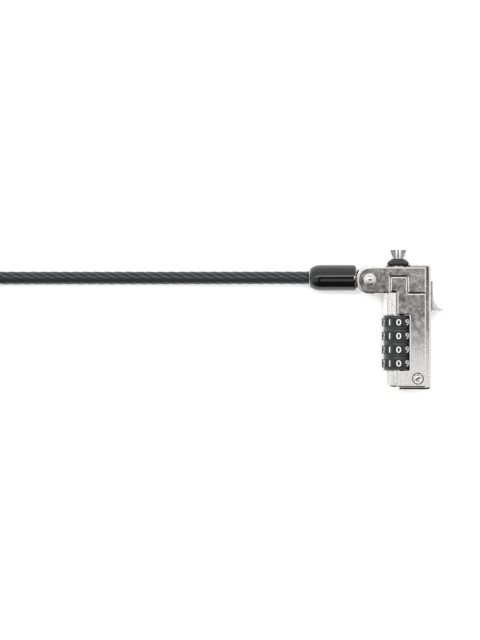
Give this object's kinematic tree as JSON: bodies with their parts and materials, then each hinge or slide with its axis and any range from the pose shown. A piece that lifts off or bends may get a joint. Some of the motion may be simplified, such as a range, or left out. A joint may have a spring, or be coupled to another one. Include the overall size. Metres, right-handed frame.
{
  "type": "laptop cable lock",
  "caption": "Combination cable lock for a laptop: metal head with number dials, wedge tip and thumb tab, swivelling steel cable wound in a coil.",
  "frame": {"origin": "under the middle of the lock head without its cable, on the surface it lies on, back face down", "axes": "+Z out of the front face, +Y along the dials towards the wedge tip, +X across the body towards the thumb tab"},
  "size_m": [0.2568, 0.0784, 0.0227],
  "materials": {
    "nickel": "satin nickel plate on die-cast zinc",
    "steel": "bright machined steel",
    "spring_steel": "drawn spring steel",
    "brass": "turned brass",
    "dial_plastic": "satin black",
    "boot_plastic": "gloss black moulding",
    "cable_sheath": "black vinyl drawn over the strands",
    "bumper_rubber": "matte black",
    "tie_fabric": "woven strap"
  },
  "bodies": {
    "housing": {"rear_housing": "nickel", "front_cover": "nickel", "head_cover": "nickel", "cover_screw_1": "steel", "cover_screw_2": "steel", "cover_screw_3": "steel", "dowel_pin_1": "steel", "dowel_pin_2": "steel", "pivot_rivet": "steel", "rivet_washer": "steel", "nose_bush": "steel", "rubber_bumper": "bumper_rubber", "jaw_pin_left": "steel", "jaw_pin_right": "steel", "axle_tube": "steel", "detent_spring": "spring_steel", "return_spring": "spring_steel", "spring_guide": "steel"},
    "dial_1": {"dial_1": "dial_plastic", "gate_sleeve_1": "brass"},
    "dial_2": {"dial_2": "dial_plastic", "gate_sleeve_2": "brass"},
    "dial_3": {"dial_3": "dial_plastic", "gate_sleeve_3": "brass"},
    "dial_4": {"dial_4": "dial_plastic", "gate_sleeve_4": "brass"},
    "thumb_slide": {"thumb_slide": "nickel", "spindle": "steel", "spreader_blade": "steel", "blade_pin": "steel"},
    "jaw_left": {"jaw_left": "steel"},
    "jaw_right": {"jaw_right": "steel"},
    "cable": {"eyelet": "nickel", "eyelet_bush": "brass", "boot": "boot_plastic", "crimp_sleeve": "steel", "cable_core": "steel", "cable_run": "cable_sheath", "cable_coil": "cable_sheath", "coil_tie": "tie_fabric", "cable_tail": "cable_sheath", "loop_ferrule": "steel", "end_loop": "cable_sheath"},
    "reset_screw": {"reset_screw": "nickel"},
    "reset_slider": {"reset_slider": "brass"}
  },
  "joints": [
    {"name": "dial_1_turn", "type": "hinge", "parent": "housing", "child": "dial_1", "pos_m": [0.00249, -0.00115, 0.0067], "axis": [0, 1, 0], "continuous": true},
    {"name": "dial_2_turn", "type": "hinge", "parent": "housing", "child": "dial_2", "pos_m": [0.00249, -0.00645, 0.0067], "axis": [0, 1, 0], "continuous": true},
    {"name": "dial_3_turn", "type": "hinge", "parent": "housing", "child": "dial_3", "pos_m": [0.00249, -0.01175, 0.0067], "axis": [0, 1, 0], "continuous": true},
    {"name": "dial_4_turn", "type": "hinge", "parent": "housing", "child": "dial_4", "pos_m": [0.00249, -0.01705, 0.0067], "axis": [0, 1, 0], "continuous": true},
    {"name": "thumb_slide_pull", "type": "slide", "parent": "housing", "child": "thumb_slide", "axis": [0, -1, 0], "range_m": [0, 0.0035], "stiffness_N_per_m": 300, "springref_m": -0.002, "deforming": ["return_spring"]},
    {"name": "jaw_left_close", "type": "hinge", "parent": "housing", "child": "jaw_left", "pos_m": [0.00124, 0.01925, 0.0067], "axis": [0, 0, -1], "range_deg": [0, 6.6]},
    {"name": "jaw_right_close", "type": "hinge", "parent": "housing", "child": "jaw_right", "pos_m": [0.00374, 0.01925, 0.0067], "axis": [0, 0, 1], "range_deg": [0, 6.6]},
    {"name": "cable_swivel", "type": "hinge", "parent": "housing", "child": "cable", "pos_m": [-0.00871, 0.01545, 0.0066], "axis": [0, 0, 1], "range_deg": [-90, 90]},
    {"name": "reset_turn", "type": "hinge", "parent": "housing", "child": "reset_screw", "pos_m": [0.00989, -0.02295, 0.012], "axis": [0, 0, 1], "range_deg": [0, 90]},
    {"name": "reset_shift", "type": "slide", "parent": "housing", "child": "reset_slider", "axis": [0, 1, 0], "range_m": [0, 0.00081]}
  ],
  "couplings": [
    {"joint": "jaw_left_close", "follows": "thumb_slide_pull", "rad_per_m": 32.9},
    {"joint": "jaw_right_close", "follows": "thumb_slide_pull", "rad_per_m": 32.9},
    {"joint": "reset_shift", "follows": "reset_turn", "m_per_rad": 0.000513}
  ]
}
